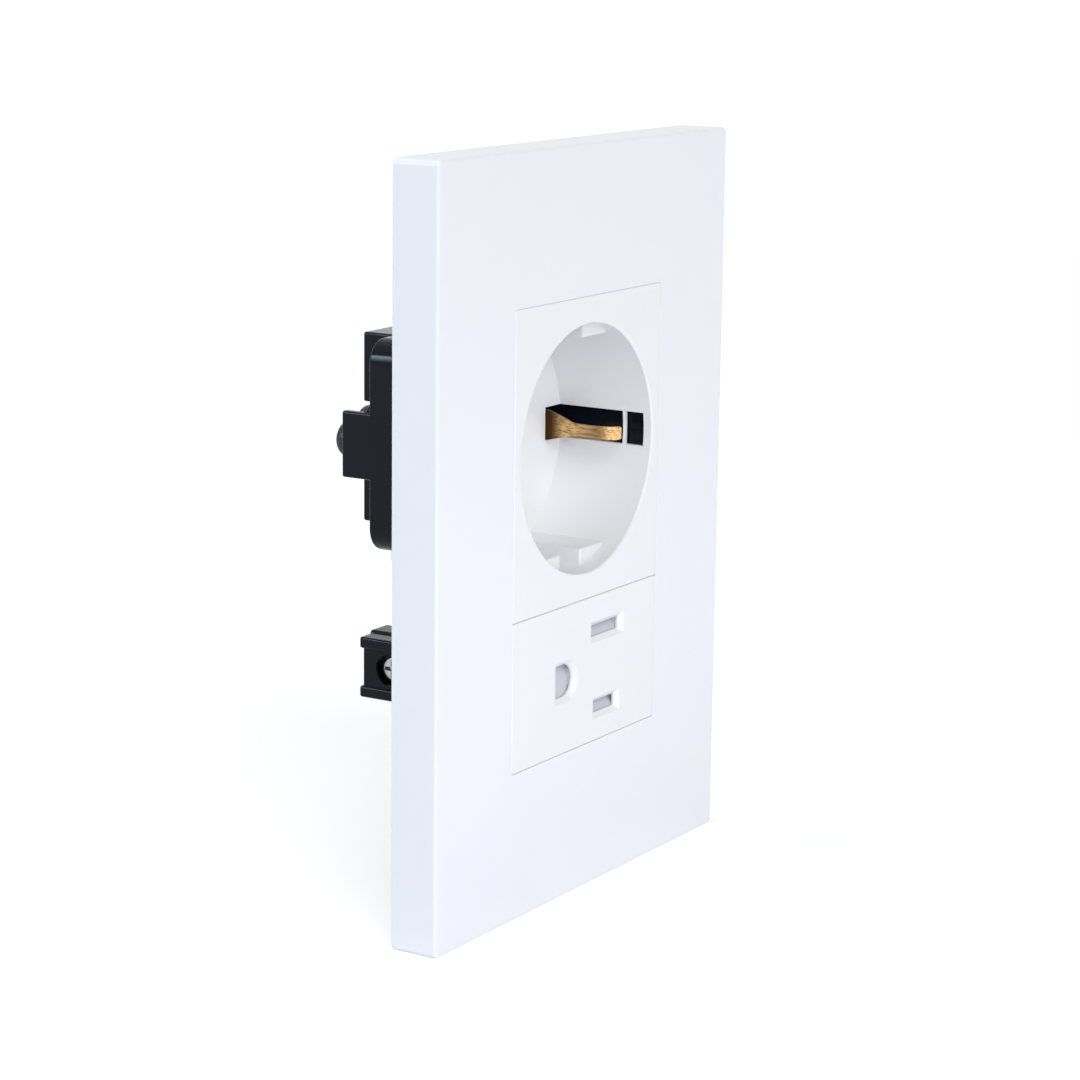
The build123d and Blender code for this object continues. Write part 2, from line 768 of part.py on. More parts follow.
def face_leg_pocket():
    """Pocket on the right for the face's leg, with a catch for its barb."""
    half = face_leg_thickness / 2
    end_y = blade_front_y + face_leg_length + fit_gap
    barb_y = end_y - 2 * face_leg_barb - 2 * fit_gap
    width = span(0, face_leg_width + 2 * fit_gap)
    outer = face_leg_x + half + fit_gap
    throat = block((face_leg_x - half - fit_gap, outer), (blade_front_y, end_y), width)
    return throat + block((face_leg_x, outer + face_leg_barb), (barb_y, end_y), width)


def terminal_box(side, level):
    """Box on the housing's back around one side-screw terminal: a core, a panel and two rounded lips."""
    front = blade_body_end - box_lip
    panel_x = (side * box_inner_x, side * box_panel_x)
    shape = block(panel_x, (front, box_end - box_lip_step), span(level, box_height - box_lip))
    lip_x = side * (box_inner_x + box_outer_x) / 2
    for lip_z in span(level, box_height - box_lip):
        lip = RectangleRounded(box_outer_x - box_inner_x, box_lip, box_edge_radius + fit_gap)
        lip = prism(lip, (front, box_end), lip_x, lip_z)
        shape += soften_end(lip, Axis.Y, -1, box_edge_radius)
    core = RectangleRounded(box_core_width, box_core_height, box_core_radius + fit_gap)
    core = prism(core, (front, box_core_end), side * box_core_x, level)
    return shape + soften_end(core, Axis.Y, -1, box_core_radius)


def terminal_box_cuts(side, level):
    """Hollow of a terminal box, its screw hole, its wire holes and the slot for the contact's arm."""
    hollow_x = [side * x for x in box_hollow_x]
    hollow_y = (side_arm_depth - loose_gap, box_hollow_end)
    cuts = block(hollow_x, hollow_y, span(level, side_tab_height + 2 * fit_gap))
    cuts += rod_x(access_radius, (hollow_x[1], side * box_outer_x), access_depth, level)
    shank_end = side_head_x - side_screw_length - fit_gap
    shank_x = (side * shank_end, hollow_x[0])
    cuts += rod_x(side_screw_radius + fit_gap, shank_x, access_depth, level)
    wire_x = side * (side_clamp_x - wire_hole_radius)
    for offset in (-wire_hole_offset, wire_hole_offset):
        cuts += rod_y(wire_hole_radius, (box_hollow_end, box_core_end), wire_x, level + offset)
    arm_start = abs(blade_x if side > 0 else ground_x)
    arm_y = (side_arm_depth - fit_gap, side_arm_depth + strip_thickness + fit_gap)
    return cuts + block((side * arm_start, hollow_x[0]), arm_y, span(level, side_arm_width + 2 * fit_gap))


def blade_socket_housing():
    """Black housing of the blade socket with its shutter pockets, contact chambers and terminal boxes."""
    rim_height = blade_height - 2 * face_overhang
    housing = prism(Rectangle(2 * housing_half, rim_height), (blade_front_y, housing_rim_end))
    body = RectangleRounded(blade_body_width, blade_body_height, blade_body_radius)
    body = prism(body, (housing_rim_end, blade_body_end))
    housing += soften_end(body, Axis.Y, -1, blade_body_radius - fit_gap)
    tower = RectangleRounded(ground_tower_width, ground_tower_height, ground_tower_radius + fit_gap)
    tower = prism(tower, (housing_rim_end, ground_tower_end), ground_x, opening_level)
    housing += soften_end(tower, Axis.Y, -1, ground_tower_radius)
    leaf_tower = Rectangle(leaf_chamber_length + 2 * blade_wall, leaf_tower_height)
    for side, level in blade_terminals:
        housing += terminal_box(side, level)
        if side > 0:
            tower = prism(leaf_tower, (housing_rim_end, leaf_tower_end), blade_x, level)
            housing += soften_end(tower, Axis.Y, -1, box_edge_radius)
    housing += module_catches(blade_body_height, (0.0,))
    housing -= shutter_pockets()
    housing -= mirrored(face_leg_pocket())
    housing -= blade_openings((shutter_back_y, passage_back_y), passage_gap)
    tube_seat_y = (passage_back_y, ground_tower_end - blade_wall)
    housing -= rod_y(tube_seat_radius, tube_seat_y, ground_x, opening_level)
    for side, level in blade_terminals:
        housing -= terminal_box_cuts(side, level)
        if side > 0:
            chamber = Rectangle(leaf_chamber_length, leaf_chamber_height)
            housing -= prism(chamber, (passage_back_y, leaf_tower_end - blade_wall), blade_x, level)
    return housing


def side_arm(side, level, start_x):
    """Strip from a contact to its side terminal, turned up into a drilled tab."""
    tab_x = (side * side_tab_x, side * side_clamp_x)
    arm_y = (side_arm_depth, side_arm_depth + strip_thickness)
    arm = block((side * start_x, tab_x[1]), arm_y, span(level, side_arm_width))
    tab = block(tab_x, (side_arm_depth, side_tab_end), span(level, side_tab_height))
    return arm + tab - rod_x(side_screw_radius + thread_gap, tab_x, access_depth, level)


def blade_contact(level):
    """Two sprung leaves that grip one flat blade, joined at the back by the arm."""
    leaf_front = passage_back_y + fit_gap
    grip_y = leaf_front + leaf_mouth
    grip = leaf_grip / 2
    root = leaf_root / 2
    mouth = grip + leaf_thickness
    inner = [(mouth, leaf_front), (grip, grip_y), (grip, grip_y + leaf_mouth), (root, side_arm_depth)]
    outer = [(z + leaf_thickness, y) for z, y in reversed(inner)]
    outline = Polygon(*[(z, -y) for z, y in inner + outer], align=None)
    plane = Plane(origin=(blade_x - leaf_width / 2, 0, 0), x_dir=(0, 0, 1), z_dir=(1, 0, 0))
    leaf = extrude(plane * outline, amount=leaf_width)
    leaves = leaf + mirror(leaf, about=Plane.XY)
    return Pos(0, 0, level) * (leaves + side_arm(1, 0.0, blade_x - leaf_width / 2))


def ground_contact():
    """Slit brass tube for the ground pin, with its arm to the terminal on the left."""
    tube_y = (passage_back_y + fit_gap, side_arm_depth + strip_thickness)
    contact = rod_y(tube_radius, tube_y, ground_x, opening_level)
    side, level = blade_terminals[0]
    contact += side_arm(side, level, abs(ground_x))
    contact -= rod_y(tube_bore_radius, tube_y, ground_x, opening_level)
    slit_y = (tube_y[0], tube_y[0] + tube_slit_length)
    return contact - block(span(ground_x, tube_slit), slit_y, span(opening_level, 2 * tube_radius))


def side_clamp(side, level):
    """Clamp plate between a side screw and its tab."""
    x = (side * side_clamp_x, side * side_head_x)
    plate = block(x, span(access_depth, side_clamp_width), span(level, side_clamp_height))
    return plate - rod_x(side_screw_radius + fit_gap, x, access_depth, level)


def side_screw(side, level):
    """Plated terminal screw whose head faces the side of the module."""
    end_x = side_head_x + side_head_height
    head = rod_x(side_head_radius, (side_head_x, end_x), access_depth)
    head = soften_end(head, Axis.X, -1, side_head_dome)
    cross_x = (end_x - side_head_height / 2, end_x)
    cross_long = 2 * (side_head_radius - side_head_dome)
    upright = block(cross_x, span(access_depth, recess_cross_width), span(0, cross_long))
    head -= upright + block(cross_x, span(access_depth, cross_long), span(0, recess_cross_width))
    screw = head + rod_x(side_screw_radius, (side_head_x - side_screw_length, side_head_x), access_depth)
    if side < 0:
        screw = mirror(screw, about=Plane.YZ)
    return Pos(0, 0, level) * screw


def outlet():
    """Every piece of the outlet by name, in the outlet's own frame."""
    at_round = Pos(0, 0, round_z)
    at_blade = Pos(0, 0, blade_z)
    earth, upper, lower = round_terminals
    ground, neutral, live = blade_terminals
    blade_spring, ground_spring = spring_places()
    pieces = {"cover_plate": cover_plate(), "support_frame": support_frame()}
    round_pieces = {
        "round_socket_face": round_socket_face(),
        "round_socket_housing": round_socket_housing(),
        "upper_pin_contact": pin_contact(1),
        "lower_pin_contact": pin_contact(-1),
        "earth_strap": earth_strap(),
        "housing_screw": housing_screw(),
    }
    for name, place in (("upper_pin", upper), ("lower_pin", lower), ("earth", earth)):
        round_pieces[name + "_clamp"] = terminal_clamp(*place)
        round_pieces[name + "_screw"] = terminal_screw(*place)
    blade_pieces = {
        "blade_socket_face": blade_socket_face(),
        "blade_socket_housing": blade_socket_housing(),
        "blade_shutter": blade_shutter(),
        "ground_shutter": ground_shutter(),
        "blade_shutter_spring": shutter_spring(*blade_spring),
        "ground_shutter_spring": shutter_spring(*ground_spring),
        "neutral_blade_contact": blade_contact(neutral_level),
        "live_blade_contact": blade_contact(live_level),
        "ground_pin_contact": ground_contact(),
    }
    for name, place in (("neutral_blade", neutral), ("live_blade", live), ("ground_pin", ground)):
        blade_pieces[name + "_clamp"] = side_clamp(*place)
        blade_pieces[name + "_screw"] = side_screw(*place)
    pieces.update({name: at_round * shape for name, shape in round_pieces.items()})
    pieces.update({name: at_blade * shape for name, shape in blade_pieces.items()})
    return pieces


os.makedirs("parts", exist_ok=True)
for piece_name, piece in outlet().items():
    export_step(piece, f"parts/{piece_name}.step")
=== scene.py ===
"""Looks of a double socket outlet: finishes on its solids, modelled screws, clamps and springs."""

import json
import logging
import math
from collections.abc import Callable, Iterator, Mapping, Sequence
from contextlib import contextmanager
from dataclasses import dataclass, field, replace
from enum import Enum

import bpy
from mathutils import Matrix, Vector

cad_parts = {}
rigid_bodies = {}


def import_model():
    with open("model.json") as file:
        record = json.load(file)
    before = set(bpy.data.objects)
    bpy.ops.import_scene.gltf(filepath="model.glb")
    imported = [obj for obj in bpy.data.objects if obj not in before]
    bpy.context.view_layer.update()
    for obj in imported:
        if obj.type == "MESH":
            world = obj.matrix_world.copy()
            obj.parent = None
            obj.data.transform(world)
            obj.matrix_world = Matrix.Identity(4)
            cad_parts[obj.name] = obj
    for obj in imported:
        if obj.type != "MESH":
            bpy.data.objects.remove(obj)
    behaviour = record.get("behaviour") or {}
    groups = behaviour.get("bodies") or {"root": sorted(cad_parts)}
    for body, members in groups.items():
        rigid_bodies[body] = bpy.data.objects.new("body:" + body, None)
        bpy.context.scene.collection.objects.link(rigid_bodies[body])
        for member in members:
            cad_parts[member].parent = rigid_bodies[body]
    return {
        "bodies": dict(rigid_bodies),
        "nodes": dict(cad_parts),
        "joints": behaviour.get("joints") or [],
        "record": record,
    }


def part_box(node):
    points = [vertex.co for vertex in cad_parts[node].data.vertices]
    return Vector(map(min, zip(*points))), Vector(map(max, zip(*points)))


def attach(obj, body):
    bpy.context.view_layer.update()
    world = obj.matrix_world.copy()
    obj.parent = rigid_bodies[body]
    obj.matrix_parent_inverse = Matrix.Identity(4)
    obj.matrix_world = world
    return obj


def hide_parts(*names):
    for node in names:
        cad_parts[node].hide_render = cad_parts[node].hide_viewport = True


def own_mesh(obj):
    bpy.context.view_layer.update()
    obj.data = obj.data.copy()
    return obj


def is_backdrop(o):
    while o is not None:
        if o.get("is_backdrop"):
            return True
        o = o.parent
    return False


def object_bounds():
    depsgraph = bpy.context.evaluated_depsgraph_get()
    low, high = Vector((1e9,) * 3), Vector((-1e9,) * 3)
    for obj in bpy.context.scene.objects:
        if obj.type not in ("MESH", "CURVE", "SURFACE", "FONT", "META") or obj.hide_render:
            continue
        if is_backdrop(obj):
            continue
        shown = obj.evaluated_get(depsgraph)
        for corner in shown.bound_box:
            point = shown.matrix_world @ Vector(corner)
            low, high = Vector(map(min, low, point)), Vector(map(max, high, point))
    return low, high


LOG = logging.getLogger("outlet")
MM = 0.001
PHOTO_SIZE = 1080

# Sockets of a colour Mix node, which go by number because several of them share a name
MIX_SHARE, MIX_FIRST, MIX_SECOND, MIX_RESULT = 0, 6, 7, 2
# Span in which most of a noise pattern lies
NOISE_LOW, NOISE_HIGH = 0.3, 0.7
# Span of the streak pattern over which a line turns dark
LINE_LOW, LINE_HIGH = 0.42, 0.68
# Distances under which vertices merge, in the millimetres that a piece is modelled in
FINE_MERGE, CUT_MERGE = 1e-5, 1e-4
# Share of a cutting bar's depth that stands out of the surface, so that the cut is clean
OVERCUT = 0.2


class Body(Enum):
    """Bodies of the part that a piece can ride on."""

    OUTLET = "outlet"


class Slot(Enum):
    """Material slots of the part's record."""

    WHITE = "white"
    FACE_WHITE = "face_white"
    SHUTTER_WHITE = "shutter_white"
    BLACK = "black"
    FRAME_GREY = "frame_grey"
    BRASS = "brass"
    ZINC_STEEL = "zinc_steel"
    BLACK_STEEL = "black_steel"
    SPRING_STEEL = "spring_steel"


class Facing(Enum):
    """Way that the head of a screw, or the outer side of a clamp, faces."""

    BACK = (0.0, 1.0, 0.0)
    LEFT = (-1.0, 0.0, 0.0)
    RIGHT = (1.0, 0.0, 0.0)

    def turn(self) -> Matrix:
        """Turn that brings the upward axis of a piece to this facing."""
        upward = Vector((0.0, 0.0, 1.0))
        return upward.rotation_difference(Vector(self.value)).to_matrix().to_4x4()


class Element(Enum):
    """What is picked out of a mesh in edit mode."""

    VERTEX = "VERT"
    EDGE = "EDGE"


def linear(hex_colour: str) -> tuple[float, float, float, float]:
    """Turn an sRGB hex colour to the linear values that a shader reads.

    Args:
        hex_colour: Six hex digits.

    Returns:
        Linear red, green and blue, with full alpha.
    """
    shares = [int(hex_colour[place:place + 2], 16) / 255 for place in (0, 2, 4)]
    red, green, blue = [s / 12.92 if s <= 0.04045 else ((s + 0.055) / 1.055) ** 2.4 for s in shares]
    return (red, green, blue, 1.0)


def add_node(
    tree: bpy.types.NodeTree,
    kind: str,
    inputs: Mapping[str | int, object] | None = None,
    **settings: object,
) -> bpy.types.Node:
    """Add a shader node with its settings, and with values or links on its inputs.

    Args:
        tree: Node tree of a material or of the world.
        kind: Type name of the node.
        inputs: Values for input sockets, or output sockets to link to them.
        **settings: Properties of the node itself.

    Returns:
        The new node.
    """
    node = tree.nodes.new(kind)
    for name, value in settings.items():
        setattr(node, name, value)
    for key, value in (inputs or {}).items():
        if isinstance(value, bpy.types.NodeSocket):
            tree.links.new(value, node.inputs[key])
        else:
            node.inputs[key].default_value = value
    return node


def blank_material(name: str) -> bpy.types.Material:
    """Start a material with an empty node tree.

    Args:
        name: What the real material is and how its surface was made.

    Returns:
        The new material.
    """
    made = bpy.data.materials.new(name)
    made.use_nodes = True
    made.node_tree.nodes.clear()
    return made


def per_mm(size: float) -> float:
    """Texture scale at which one feature of a pattern is this many millimetres wide."""
    return 1.0 / (size * MM)


@dataclass(frozen=True)
class MouldedPlastic:
    """Injection-moulded plastic: an even colour, faint flow marks and the skin of the mould."""

    name: str
    colour: str
    flow_colour: str
    roughness: tuple[float, float]
    ior: float
    specular: float
    skin_mm: float
    skin_depth_mm: float
    flow_mm: float = 14.0

    def material(self) -> bpy.types.Material:
        """Build the material of this plastic.

        Returns:
            The new material.
        """
        made = blank_material(self.name)
        tree = made.node_tree
        place = add_node(tree, "ShaderNodeTexCoord").outputs["Object"]
        # Melt that cooled at different times leaves wide, very faint clouds in colour and gloss
        flow = add_node(tree, "ShaderNodeTexNoise", {
            "Vector": place, "Scale": per_mm(self.flow_mm), "Detail": 3.0, "Roughness": 0.55,
        })
        colour = add_node(tree, "ShaderNodeMix", {
            MIX_SHARE: flow.outputs["Fac"],
            MIX_FIRST: linear(self.colour), MIX_SECOND: linear(self.flow_colour),
        }, data_type="RGBA")
        gloss = add_node(tree, "ShaderNodeMapRange", {
            "Value": flow.outputs["Fac"], "From Min": NOISE_LOW, "From Max": NOISE_HIGH,
            "To Min": self.roughness[0], "To Max": self.roughness[1],
        })
        # The eroded face of the mould gives tiny hills, drawn coarser than life so that they show
        skin = add_node(tree, "ShaderNodeTexNoise", {
            "Vector": place, "Scale": per_mm(self.skin_mm), "Detail": 2.0, "Roughness": 0.5,
        })
        bump = add_node(tree, "ShaderNodeBump", {
            "Height": skin.outputs["Fac"], "Strength": 1.0, "Distance": self.skin_depth_mm * MM,
        })
        shader = add_node(tree, "ShaderNodeBsdfPrincipled", {
            "Base Color": colour.outputs[MIX_RESULT], "Roughness": gloss.outputs["Result"],
            "Normal": bump.outputs["Normal"], "IOR": self.ior, "Specular IOR Level": self.specular,
        })
        add_node(tree, "ShaderNodeOutputMaterial", {"Surface": shader.outputs["BSDF"]})
        return made


@dataclass(frozen=True)
class WorkedMetal:
    """Bare or plated metal: fine lines or grain, and soft clouds of another colour."""

    name: str
    colour: str
    tint: str
    roughness: tuple[float, float]
    streak_mm: tuple[float, float, float]
    streak_depth_mm: float
    cloud_mm: float
    streak_colour: str | None = None
    # Painted shade: a brown darkening, and the depths in millimetres over which it comes and goes
    painted_shade_colour: str | None = None
    painted_shade_y_mm: tuple[float, float, float, float] = (5.5, 8.6, 11.0, 14.0)

    def material(self) -> bpy.types.Material:
        """Build the material of this metal.

        Returns:
            The new material.
        """
        made = blank_material(self.name)
        tree = made.node_tree
        place = add_node(tree, "ShaderNodeTexCoord").outputs["Object"]
        # Handling and plating leave soft clouds of colour
        cloud = add_node(tree, "ShaderNodeTexNoise", {
            "Vector": place, "Scale": per_mm(self.cloud_mm), "Detail": 4.0, "Roughness": 0.6,
        })
        colour = add_node(tree, "ShaderNodeMix", {
            MIX_SHARE: cloud.outputs["Fac"],
            MIX_FIRST: linear(self.colour), MIX_SECOND: linear(self.tint),
        }, data_type="RGBA")
        # Rolling, drawing and plating leave fine lines or grain, coarser here so that they show
        stretched = add_node(tree, "ShaderNodeMapping", {
            "Vector": place, "Scale": [per_mm(size) for size in self.streak_mm],
        })
        streak = add_node(tree, "ShaderNodeTexNoise", {
            "Vector": stretched.outputs["Vector"], "Scale": 1.0, "Detail": 3.0, "Roughness": 0.6,
        })
        gloss = add_node(tree, "ShaderNodeMapRange", {
            "Value": streak.outputs["Fac"], "From Min": NOISE_LOW, "From Max": NOISE_HIGH,
            "To Min": self.roughness[0], "To Max": self.roughness[1],
        })
        bump = add_node(tree, "ShaderNodeBump", {
            "Height": streak.outputs["Fac"], "Strength": 1.0, "Distance": self.streak_depth_mm * MM,
        })
        if self.streak_colour:
            # Grease and wear settle in the lines, so some of them are darker
            line = add_node(tree, "ShaderNodeMapRange", {
                "Value": streak.outputs["Fac"], "From Min": LINE_LOW, "From Max": LINE_HIGH,
            })
            colour = add_node(tree, "ShaderNodeMix", {
                MIX_SHARE: line.outputs["Result"],
                MIX_FIRST: colour.outputs[MIX_RESULT], MIX_SECOND: linear(self.streak_colour),
            }, data_type="RGBA")
        # Painted shade: the strip turns brown in a band of depth, where it passes into the dark
        # slot in the floor
        if self.painted_shade_colour:
            colour = add_node(tree, "ShaderNodeMix", {
                MIX_SHARE: self.painted_shade(tree, place),
                MIX_FIRST: colour.outputs[MIX_RESULT], MIX_SECOND: linear(self.painted_shade_colour),
            }, data_type="RGBA")
        shader = add_node(tree, "ShaderNodeBsdfPrincipled", {
            "Base Color": colour.outputs[MIX_RESULT], "Metallic": 1.0,
            "Roughness": gloss.outputs["Result"], "Normal": bump.outputs["Normal"],
        })
        add_node(tree, "ShaderNodeOutputMaterial", {"Surface": shader.outputs["BSDF"]})
        return made

    def painted_shade(
        self, tree: bpy.types.NodeTree, place: bpy.types.NodeSocket
    ) -> bpy.types.NodeSocket:
        """Share of painted shade: the strip is darkened brown in a band of depth, where it passes
        through the floor of the recess into its dark slot.

        Args:
            tree: Node tree of the material.
            place: Socket of the object's own coordinates.

        Returns:
            The output socket.
        """
        depth = add_node(tree, "ShaderNodeSeparateXYZ", {0: place}).outputs["Y"]
        unshaded, dark, dark_end, unshaded_end = (mm * MM for mm in self.painted_shade_y_mm)
        rise, fall = [
            add_node(tree, "ShaderNodeMapRange", {
                "Value": depth, "From Min": start, "From Max": end,
            }, interpolation_type="SMOOTHSTEP").outputs["Result"]
            for start, end in ((unshaded, dark), (unshaded_end, dark_end))
        ]
        both = add_node(tree, "ShaderNodeMath", {0: rise, 1: fall}, operation="MULTIPLY")
        return both.outputs[0]


FINISHES: dict[Slot, MouldedPlastic | WorkedMetal] = {
    # Satin white polycarbonate of the cover: cool white and smooth, with broad soft highlights
    Slot.WHITE: MouldedPlastic(
        name="polycarbonate_white_moulded", colour="EEEFF4", flow_colour="ECEDF2",
        roughness=(0.30, 0.38), ior=1.58, specular=0.3, skin_mm=0.9, skin_depth_mm=0.004),
    # The same plastic on the two inserts: a little warmer and less blue
    Slot.FACE_WHITE: MouldedPlastic(
        name="polycarbonate_insert_moulded", colour="EEEFF1", flow_colour="ECEDEF",
        roughness=(0.30, 0.38), ior=1.58, specular=0.3, skin_mm=0.9, skin_depth_mm=0.004),
    # Acetal of the shutters: duller and slightly waxy, with a grey darkened past the acetal's own
    # as painted shade for the slots it is seen through
    Slot.SHUTTER_WHITE: MouldedPlastic(
        name="acetal_shutter_moulded", colour="C6C8CE", flow_colour="C2C4CA",
        roughness=(0.42, 0.52), ior=1.48, specular=0.4, skin_mm=0.5, skin_depth_mm=0.004),
    # Black nylon of the housings: near black and smooth, so that a lamp shows as a narrow band
    Slot.BLACK: MouldedPlastic(
        name="nylon_black_moulded", colour="0C1018", flow_colour="10151E",
        roughness=(0.11, 0.17), ior=1.53, specular=0.12, skin_mm=0.35, skin_depth_mm=0.004,
        flow_mm=9.0),
    # Grey filled nylon of the support frame: matt, with an eroded grain
    Slot.FRAME_GREY: MouldedPlastic(
        name="nylon_grey_moulded", colour="4A4C52", flow_colour="505258",
        roughness=(0.46, 0.58), ior=1.53, specular=0.4, skin_mm=0.5, skin_depth_mm=0.012),
    # Rolled brass strip: warm gold with dark lines along it, and painted shade in brown where it
    # passes into the dark slot in the floor
    Slot.BRASS: WorkedMetal(
        name="brass_strip_rolled", colour="E8C48E", tint="CDA36C", roughness=(0.30, 0.46),
        streak_mm=(0.24, 9.0, 0.24), streak_depth_mm=0.012, cloud_mm=1.4,
        streak_colour="946B38", painted_shade_colour="4A3318"),
    # Zinc-plated steel of screws and clamps: bluish silver with a straw tint
    Slot.ZINC_STEEL: WorkedMetal(
        name="steel_zinc_plated", colour="B4B7BC", tint="A9A79F", roughness=(0.24, 0.40),
        streak_mm=(0.16, 0.16, 0.16), streak_depth_mm=0.005, cloud_mm=1.8),
    # Black passivated steel of the domed screws: dark, with the shine of the metal below
    Slot.BLACK_STEEL: WorkedMetal(
        name="steel_black_passivated", colour="3C3E43", tint="33343A", roughness=(0.26, 0.40),
        streak_mm=(0.16, 0.16, 0.16), streak_depth_mm=0.005, cloud_mm=1.8),
    # Spring wire: drawn, darker, bright along its lines
    Slot.SPRING_STEEL: WorkedMetal(
        name="steel_wire_drawn", colour="9DA0A6", tint="8D8F94", roughness=(0.22, 0.34),
        streak_mm=(0.05, 0.05, 0.6), streak_depth_mm=0.002, cloud_mm=1.0),
}


def deselect_all() -> None:
    """Leave edit mode and select nothing."""
    if bpy.context.object and bpy.context.object.mode != "OBJECT":
        bpy.ops.object.mode_set(mode="OBJECT")
    bpy.ops.object.select_all(action="DESELECT")


def select_only(piece: bpy.types.Object) -> None:
    """Select one object and make it the active one.

    Args:
        piece: Object to select.
    """
    deselect_all()
    piece.select_set(True)
    bpy.context.view_layer.objects.active = piece


@contextmanager
def editing(piece: bpy.types.Object) -> Iterator[None]:
    """Open a piece in edit mode with all its vertices selected.

    Args:
        piece: Mesh object to edit.

    Yields:
        Nothing, while the piece is open.
    """
    select_only(piece)
    bpy.ops.object.mode_set(mode="EDIT")
    bpy.ops.mesh.select_mode(type=Element.VERTEX.value)
    bpy.ops.mesh.select_all(action="SELECT")
    yield
    bpy.ops.object.mode_set(mode="OBJECT")


def narrow_selection(
    piece: bpy.types.Object, element: Element, test: Callable[[list[Vector]], bool]
) -> None:
    """Select only some vertices or edges of a piece that is open in edit mode.

    Args:
        piece: Mesh object that is open.
        element: Whether vertices or edges are picked.
        test: Says of the places of a vertex, or of an edge's two ends, whether it is selected.
    """
    bpy.ops.mesh.select_mode(type=element.value)
    bpy.ops.mesh.select_all(action="DESELECT")
    bpy.ops.object.mode_set(mode="OBJECT")
    vertices = piece.data.vertices
    if element is Element.VERTEX:
        for vertex in vertices:
            vertex.select = test([vertex.co])
    else:
        for edge in piece.data.edges:
            edge.select = test([vertices[index].co for index in edge.vertices])
    bpy.ops.object.mode_set(mode="EDIT")


def apply_modifier(piece: bpy.types.Object, kind: str, **settings: object) -> None:
    """Add a modifier to a piece and apply it.

    Args:
        piece: Mesh object that takes it.
        kind: Type name of the modifier.
        **settings: Properties of the modifier.
    """
    select_only(piece)
    modifier = piece.modifiers.new(kind.lower(), kind)
    for name, value in settings.items():
        setattr(modifier, name, value)
    bpy.ops.object.modifier_apply(modifier=modifier.name)


def cut_away(piece: bpy.types.Object, cutter: bpy.types.Object) -> None:
    """Cut one shape out of a piece and throw the cutter away."""
    apply_modifier(piece, "BOOLEAN", operation="DIFFERENCE", solver="EXACT", object=cutter)
    bpy.data.objects.remove(cutter)


def close_up(piece: bpy.types.Object, merge: float, hole_sides: int = 0) -> None:
    """Merge doubled vertices, close small holes and point the faces outwards.

    Args:
        piece: Mesh object to close.
        merge: Distance under which vertices become one.
        hole_sides: Most sides of a hole that is closed; none where it is 0.
    """
    with editing(piece):
        bpy.ops.mesh.remove_doubles(threshold=merge)
        if hole_sides:
            bpy.ops.mesh.fill_holes(sides=hole_sides)
        bpy.ops.mesh.normals_make_consistent(inside=False)


def join(pieces: Sequence[bpy.types.Object]) -> bpy.types.Object:
    """Join several mesh objects into the first of them.

    Args:
        pieces: Objects to join.

    Returns:
        The first object, which now holds them all.
    """
    select_only(pieces[0])
    for piece in pieces[1:]:
        piece.select_set(True)
    bpy.ops.object.join()
    return pieces[0]


def copy_of(piece: bpy.types.Object) -> bpy.types.Object:
    """Copy a piece with a mesh of its own.

    Args:
        piece: Mesh object to copy.

    Returns:
        The copy.
    """
    twin = piece.copy()
    twin.data = piece.data.copy()
    bpy.context.scene.collection.objects.link(twin)
    return twin


def settle(piece: bpy.types.Object, name: str, place: Vector, turn: Matrix) -> None:
    """Bring a piece from millimetres about its own origin to its place on the part.

    Args:
        piece: Mesh object, modelled in millimetres.
        name: Name that it takes.
        place: Where its origin goes, in metres.
        turn: Turn that it takes first.
    """
    piece.name = name
    piece.data.name = name
    select_only(piece)
    piece.matrix_world = Matrix.Translation(place) @ turn @ Matrix.Scale(MM, 4)
    bpy.ops.object.transform_apply(location=True, rotation=True, scale=True)


def block(size: tuple[float, float, float], height: float) -> bpy.types.Object:
    """Add a plain block to shape further, with its middle on the upward axis.

    Args:
        size: Its three edges.
        height: Height of its middle.

    Returns:
        The new mesh object.
    """
    deselect_all()
    bpy.ops.mesh.primitive_cube_add(size=1, location=(0, 0, height))
    piece = bpy.context.active_object
    piece.scale = size
    bpy.ops.object.transform_apply(location=True, rotation=True, scale=True)
    return piece


def turned(profile: Sequence[tuple[float, float]], sides: int) -> bpy.types.Object:
    """Turn a closed solid about the upward axis.

    Args:
        profile: Radius and height of each ring, from one end to the other.
        sides: Sides of each ring.

    Returns:
        The new mesh object.
    """
    deselect_all()
    radius, height = profile[0]
    bpy.ops.mesh.primitive_circle_add(
        vertices=sides, radius=radius, fill_type="NGON", location=(0, 0, height))
    piece = bpy.context.active_object
    bpy.ops.object.transform_apply(location=True, rotation=True, scale=True)
    with editing(piece):
        for next_radius, next_height in profile[1:]:
            rise = (0, 0, next_height - height)
            bpy.ops.mesh.extrude_region_move(TRANSFORM_OT_translate={"value": rise})
            grow = next_radius / radius
            bpy.ops.transform.resize(value=(grow, grow, 1), center_override=(0, 0, next_height))
            radius, height = next_radius, next_height
    close_up(piece, FINE_MERGE)
    return piece


def wound(
    outline_sides: int,
    outline_radius: float,
    reach: float,
    pitch: float,
    turns: int,
    base: float,
    steps: int,
) -> bpy.types.Object:
    """Wind a ring-shaped outline about the upward axis into a bar.

    Args:
        outline_sides: Sides of the outline.
        outline_radius: Radius of the outline.
        reach: Distance of the outline's middle from the axis.
        pitch: Rise of each turn.
        turns: Whole turns.
        base: Height of the first outline.
        steps: Steps in each turn.

    Returns:
        The new mesh object, with open ends.
    """
    deselect_all()
    bpy.ops.mesh.primitive_circle_add(
        vertices=outline_sides, radius=outline_radius, fill_type="NOTHING",
        location=(reach, 0, base), rotation=(math.pi / 2, math.pi / 2, 0))
    bar = bpy.context.active_object
    bpy.ops.object.transform_apply(location=True, rotation=True, scale=True)
    apply_modifier(
        bar, "SCREW", axis="Z", angle=math.tau, screw_offset=pitch, iterations=turns, steps=steps,
        render_steps=steps, use_merge_vertices=False)
    return bar


